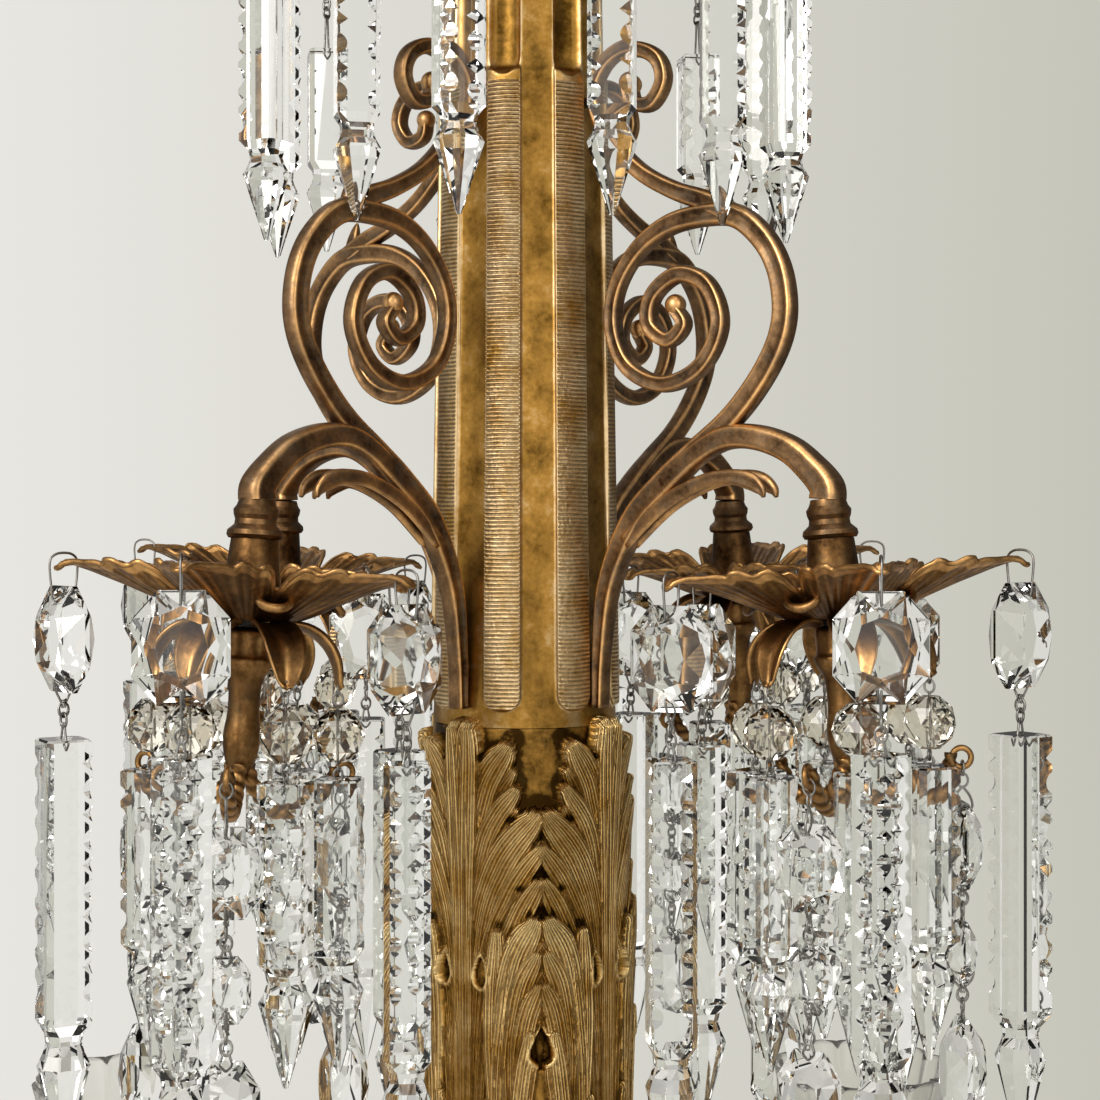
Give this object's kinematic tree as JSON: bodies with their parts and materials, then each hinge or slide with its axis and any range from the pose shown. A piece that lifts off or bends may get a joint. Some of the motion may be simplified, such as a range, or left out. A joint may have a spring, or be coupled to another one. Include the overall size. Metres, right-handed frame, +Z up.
{
  "type": "chandelier",
  "caption": "Gilt brass and bronze chandelier: a cabled column with scroll brackets, leaf dishes and a crown hung with cut-glass spears, and shaded lights below.",
  "frame": {"origin": "centre of the hanging eye's bore", "axes": "+Z up along the column, +Y along the hanging eye's bore; the four brackets stand on +X, +Y, -X and -Y"},
  "size_m": [0.592, 0.592, 0.982],
  "materials": {
    "gilt_brass": "aged gilt, satin with worn high spots",
    "bronze": "brown patinated bronze with bright worn edges",
    "iron": "dull iron and steel",
    "cut_glass": "polished clear cut glass on steel wire",
    "porcelain": "glazed ivory porcelain"
  },
  "bodies": {
    "shackle": {"suspension_shackle": "iron", "shackle_pin": "iron"},
    "chandelier": {"top_eye": "gilt_brass", "tie_rod": "iron", "rod_nuts": "iron", "crown_cap": "gilt_brass", "crown_dish": "bronze", "fluted_column": "gilt_brass", "acanthus_vase": "gilt_brass", "arm_hub": "gilt_brass", "bottom_bowl": "gilt_brass", "finial": "gilt_brass", "bracket_right": "bronze", "bracket_back": "bronze", "bracket_left": "bronze", "bracket_front": "bronze", "bracket_screws": "iron", "arm_collars": "bronze", "dish_nipples": "iron", "drop_dishes": "bronze", "petal_husks": "bronze", "twisted_hooks": "bronze", "bead_drops": "cut_glass", "centre_drops": "cut_glass", "light_arms": "bronze", "shade_galleries": "bronze", "glass_shades": "cut_glass", "lamp_holders": "porcelain"},
    "swing_crown_1": {"crown_drop_1": "cut_glass"},
    "swing_crown_2": {"crown_drop_2": "cut_glass"},
    "swing_crown_3": {"crown_drop_3": "cut_glass"},
    "swing_crown_4": {"crown_drop_4": "cut_glass"},
    "swing_crown_5": {"crown_drop_5": "cut_glass"},
    "swing_crown_6": {"crown_drop_6": "cut_glass"},
    "swing_crown_7": {"crown_drop_7": "cut_glass"},
    "swing_crown_8": {"crown_drop_8": "cut_glass"},
    "swing_crown_9": {"crown_drop_9": "cut_glass"},
    "swing_crown_10": {"crown_drop_10": "cut_glass"},
    "swing_crown_11": {"crown_drop_11": "cut_glass"},
    "swing_crown_12": {"crown_drop_12": "cut_glass"},
    "swing_right_1": {"rim_drop_right_1": "cut_glass"},
    "swing_right_2": {"rim_drop_right_2": "cut_glass"},
    "swing_right_3": {"rim_drop_right_3": "cut_glass"},
    "swing_right_4": {"rim_drop_right_4": "cut_glass"},
    "swing_right_5": {"rim_drop_right_5": "cut_glass"},
    "swing_back_1": {"rim_drop_back_1": "cut_glass"},
    "swing_back_2": {"rim_drop_back_2": "cut_glass"},
    "swing_back_3": {"rim_drop_back_3": "cut_glass"},
    "swing_back_4": {"rim_drop_back_4": "cut_glass"},
    "swing_back_5": {"rim_drop_back_5": "cut_glass"},
    "swing_left_1": {"rim_drop_left_1": "cut_glass"},
    "swing_left_2": {"rim_drop_left_2": "cut_glass"},
    "swing_left_3": {"rim_drop_left_3": "cut_glass"},
    "swing_left_4": {"rim_drop_left_4": "cut_glass"},
    "swing_left_5": {"rim_drop_left_5": "cut_glass"},
    "swing_front_1": {"rim_drop_front_1": "cut_glass"},
    "swing_front_2": {"rim_drop_front_2": "cut_glass"},
    "swing_front_3": {"rim_drop_front_3": "cut_glass"},
    "swing_front_4": {"rim_drop_front_4": "cut_glass"},
    "swing_front_5": {"rim_drop_front_5": "cut_glass"}
  },
  "joints": [
    {"name": "chandelier_swing", "type": "hinge", "parent": "shackle", "child": "chandelier", "pos_m": [0, 0, -0.042], "axis": [1, 0, 0], "range_deg": [-12, 12]},
    {"name": "swing_crown_1_hinge", "type": "hinge", "parent": "chandelier", "child": "swing_crown_1", "pos_m": [0.10352, -0.00997, -0.144], "axis": [-0.0958, -0.9954, 0], "range_deg": [-3, 15]},
    {"name": "swing_crown_2_hinge", "type": "hinge", "parent": "chandelier", "child": "swing_crown_2", "pos_m": [0.09183, 0.04883, -0.144], "axis": [0.4695, -0.8829, 0], "range_deg": [-3, 15]},
    {"name": "swing_crown_3_hinge", "type": "hinge", "parent": "chandelier", "child": "swing_crown_3", "pos_m": [0.05511, 0.0882, -0.144], "axis": [0.848, -0.5299, 0], "range_deg": [-3, 15]},
    {"name": "swing_crown_4_hinge", "type": "hinge", "parent": "chandelier", "child": "swing_crown_4", "pos_m": [0.00997, 0.10352, -0.144], "axis": [0.9954, -0.0958, 0], "range_deg": [-3, 15]},
    {"name": "swing_crown_5_hinge", "type": "hinge", "parent": "chandelier", "child": "swing_crown_5", "pos_m": [-0.04883, 0.09183, -0.144], "axis": [0.8829, 0.4695, 0], "range_deg": [-3, 15]},
    {"name": "swing_crown_6_hinge", "type": "hinge", "parent": "chandelier", "child": "swing_crown_6", "pos_m": [-0.0882, 0.05511, -0.144], "axis": [0.5299, 0.848, 0], "range_deg": [-3, 15]},
    {"name": "swing_crown_7_hinge", "type": "hinge", "parent": "chandelier", "child": "swing_crown_7", "pos_m": [-0.10352, -0.00997, -0.144], "axis": [-0.0958, 0.9954, 0], "range_deg": [-3, 15]},
    {"name": "swing_crown_8_hinge", "type": "hinge", "parent": "chandelier", "child": "swing_crown_8", "pos_m": [-0.09183, -0.04883, -0.144], "axis": [-0.4695, 0.8829, 0], "range_deg": [-3, 15]},
    {"name": "swing_crown_9_hinge", "type": "hinge", "parent": "chandelier", "child": "swing_crown_9", "pos_m": [-0.05511, -0.0882, -0.144], "axis": [-0.848, 0.5299, 0], "range_deg": [-3, 15]},
    {"name": "swing_crown_10_hinge", "type": "hinge", "parent": "chandelier", "child": "swing_crown_10", "pos_m": [0.00997, -0.10352, -0.144], "axis": [-0.9954, -0.0958, 0], "range_deg": [-3, 15]},
    {"name": "swing_crown_11_hinge", "type": "hinge", "parent": "chandelier", "child": "swing_crown_11", "pos_m": [0.04883, -0.09183, -0.144], "axis": [-0.8829, -0.4695, 0], "range_deg": [-3, 15]},
    {"name": "swing_crown_12_hinge", "type": "hinge", "parent": "chandelier", "child": "swing_crown_12", "pos_m": [0.0882, -0.05511, -0.144], "axis": [-0.5299, -0.848, 0], "range_deg": [-3, 15]},
    {"name": "swing_right_1_hinge", "type": "hinge", "parent": "chandelier", "child": "swing_right_1", "pos_m": [0.20106, 0.03028, -0.43854], "axis": [0.4695, -0.8829, 0], "range_deg": [-1, 12]},
    {"name": "swing_right_2_hinge", "type": "hinge", "parent": "chandelier", "child": "swing_right_2", "pos_m": [0.13317, 0.06352, -0.44448], "axis": [0.9848, 0.1736, 0], "range_deg": [-3, 12]},
    {"name": "swing_right_3_hinge", "type": "hinge", "parent": "chandelier", "child": "swing_right_3", "pos_m": [0.0807, 0.00898, -0.44907], "axis": [0.1392, 0.9903, 0], "range_deg": [-3, 5]},
    {"name": "swing_right_4_hinge", "type": "hinge", "parent": "chandelier", "child": "swing_right_4", "pos_m": [0.11616, -0.05797, -0.44597], "axis": [-0.8988, 0.4384, 0], "range_deg": [-3, 12]},
    {"name": "swing_right_5_hinge", "type": "hinge", "parent": "chandelier", "child": "swing_right_5", "pos_m": [0.19055, -0.0448, -0.43946], "axis": [-0.6947, -0.7193, 0], "range_deg": [-3, 12]},
    {"name": "swing_back_1_hinge", "type": "hinge", "parent": "chandelier", "child": "swing_back_1", "pos_m": [-0.03028, 0.20106, -0.43854], "axis": [0.8829, 0.4695, 0], "range_deg": [-1, 12]},
    {"name": "swing_back_2_hinge", "type": "hinge", "parent": "chandelier", "child": "swing_back_2", "pos_m": [-0.06352, 0.13317, -0.44448], "axis": [-0.1736, 0.9848, 0], "range_deg": [-3, 12]},
    {"name": "swing_back_3_hinge", "type": "hinge", "parent": "chandelier", "child": "swing_back_3", "pos_m": [-0.00898, 0.0807, -0.44907], "axis": [-0.9903, 0.1392, 0], "range_deg": [-3, 5]},
    {"name": "swing_back_4_hinge", "type": "hinge", "parent": "chandelier", "child": "swing_back_4", "pos_m": [0.05797, 0.11616, -0.44597], "axis": [-0.4384, -0.8988, 0], "range_deg": [-3, 12]},
    {"name": "swing_back_5_hinge", "type": "hinge", "parent": "chandelier", "child": "swing_back_5", "pos_m": [0.0448, 0.19055, -0.43946], "axis": [0.7193, -0.6947, 0], "range_deg": [-3, 12]},
    {"name": "swing_left_1_hinge", "type": "hinge", "parent": "chandelier", "child": "swing_left_1", "pos_m": [-0.20106, -0.03028, -0.43854], "axis": [-0.4695, 0.8829, 0], "range_deg": [-1, 12]},
    {"name": "swing_left_2_hinge", "type": "hinge", "parent": "chandelier", "child": "swing_left_2", "pos_m": [-0.13317, -0.06352, -0.44448], "axis": [-0.9848, -0.1736, 0], "range_deg": [-3, 12]},
    {"name": "swing_left_3_hinge", "type": "hinge", "parent": "chandelier", "child": "swing_left_3", "pos_m": [-0.0807, -0.00898, -0.44907], "axis": [-0.1392, -0.9903, 0], "range_deg": [-3, 5]},
    {"name": "swing_left_4_hinge", "type": "hinge", "parent": "chandelier", "child": "swing_left_4", "pos_m": [-0.11616, 0.05797, -0.44597], "axis": [0.8988, -0.4384, 0], "range_deg": [-3, 12]},
    {"name": "swing_left_5_hinge", "type": "hinge", "parent": "chandelier", "child": "swing_left_5", "pos_m": [-0.19055, 0.0448, -0.43946], "axis": [0.6947, 0.7193, 0], "range_deg": [-3, 12]},
    {"name": "swing_front_1_hinge", "type": "hinge", "parent": "chandelier", "child": "swing_front_1", "pos_m": [0.03028, -0.20106, -0.43854], "axis": [-0.8829, -0.4695, 0], "range_deg": [-1, 12]},
    {"name": "swing_front_2_hinge", "type": "hinge", "parent": "chandelier", "child": "swing_front_2", "pos_m": [0.06352, -0.13317, -0.44448], "axis": [0.1736, -0.9848, 0], "range_deg": [-3, 12]},
    {"name": "swing_front_3_hinge", "type": "hinge", "parent": "chandelier", "child": "swing_front_3", "pos_m": [0.00898, -0.0807, -0.44907], "axis": [0.9903, -0.1392, 0], "range_deg": [-3, 5]},
    {"name": "swing_front_4_hinge", "type": "hinge", "parent": "chandelier", "child": "swing_front_4", "pos_m": [-0.05797, -0.11616, -0.44597], "axis": [0.4384, 0.8988, 0], "range_deg": [-3, 12]},
    {"name": "swing_front_5_hinge", "type": "hinge", "parent": "chandelier", "child": "swing_front_5", "pos_m": [-0.0448, -0.19055, -0.43946], "axis": [-0.7193, 0.6947, 0], "range_deg": [-3, 12]}
  ]
}
